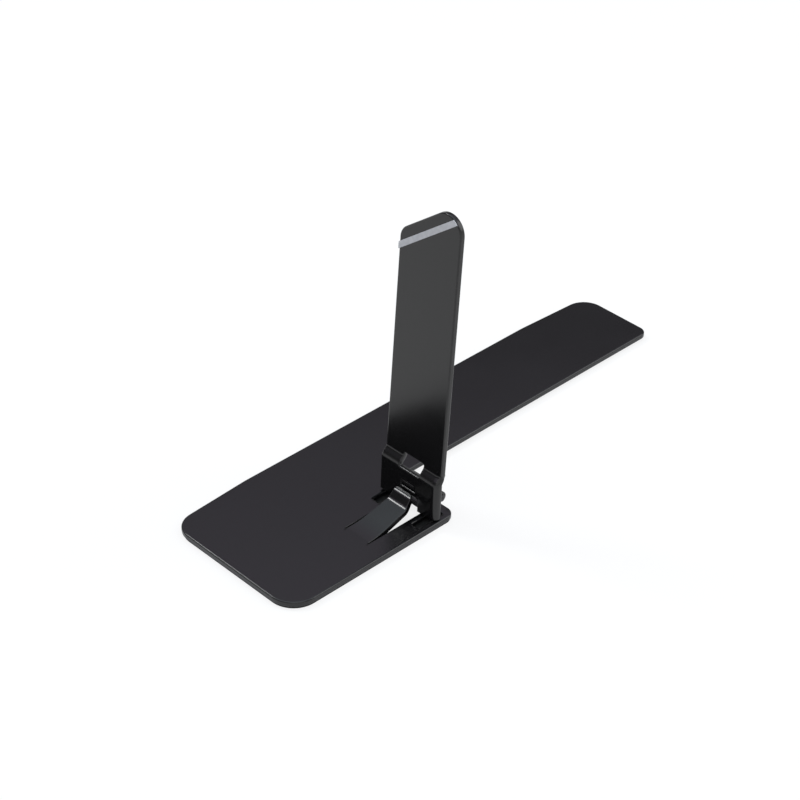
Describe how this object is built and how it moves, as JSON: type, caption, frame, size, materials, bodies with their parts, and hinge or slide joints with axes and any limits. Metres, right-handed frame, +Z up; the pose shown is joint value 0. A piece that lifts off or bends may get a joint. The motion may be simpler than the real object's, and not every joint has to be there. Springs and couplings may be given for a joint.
{
  "type": "folding phone stand",
  "caption": "Folding sheet-metal phone stand: a flat base with a long tongue, a slant-tipped arm that folds down beside the tongue, and a spring latch in front of the arm's foot.",
  "frame": {"origin": "centre of the stand's outline on the desk", "axes": "+X along the base towards the tongue's end, +Y across the base towards the tongue's side, +Z up"},
  "size_m": [0.195, 0.06, 0.1111],
  "materials": {
    "black_coat": "satin black coat on steel sheet",
    "grey_strip": "light grey friction strip",
    "pin_steel": "plain steel",
    "dark_nylon": "moulded nylon",
    "pad_rubber": "matt non-slip sheet"
  },
  "bodies": {
    "base": {"base_plate": "black_coat", "base_pad": "pad_rubber", "tongue_pad": "pad_rubber", "hinge_pin": "pin_steel", "friction_bush_near": "dark_nylon", "friction_bush_far": "dark_nylon"},
    "arm": {"arm": "black_coat", "tip_strip": "grey_strip"},
    "latch": {"latch_spring": "black_coat"}
  },
  "joints": [
    {"name": "arm_fold", "type": "hinge", "parent": "base", "child": "arm", "pos_m": [-0.0309, -0.01675, 0.0091], "axis": [0, 1, 0], "range_deg": [0, 90]},
    {"name": "latch_press", "type": "hinge", "parent": "base", "child": "latch", "pos_m": [-0.0582, -0.01675, 0.0017], "axis": [0, 1, 0], "range_deg": [0, 7], "stiffness_Nm_per_rad": 0.6}
  ]
}
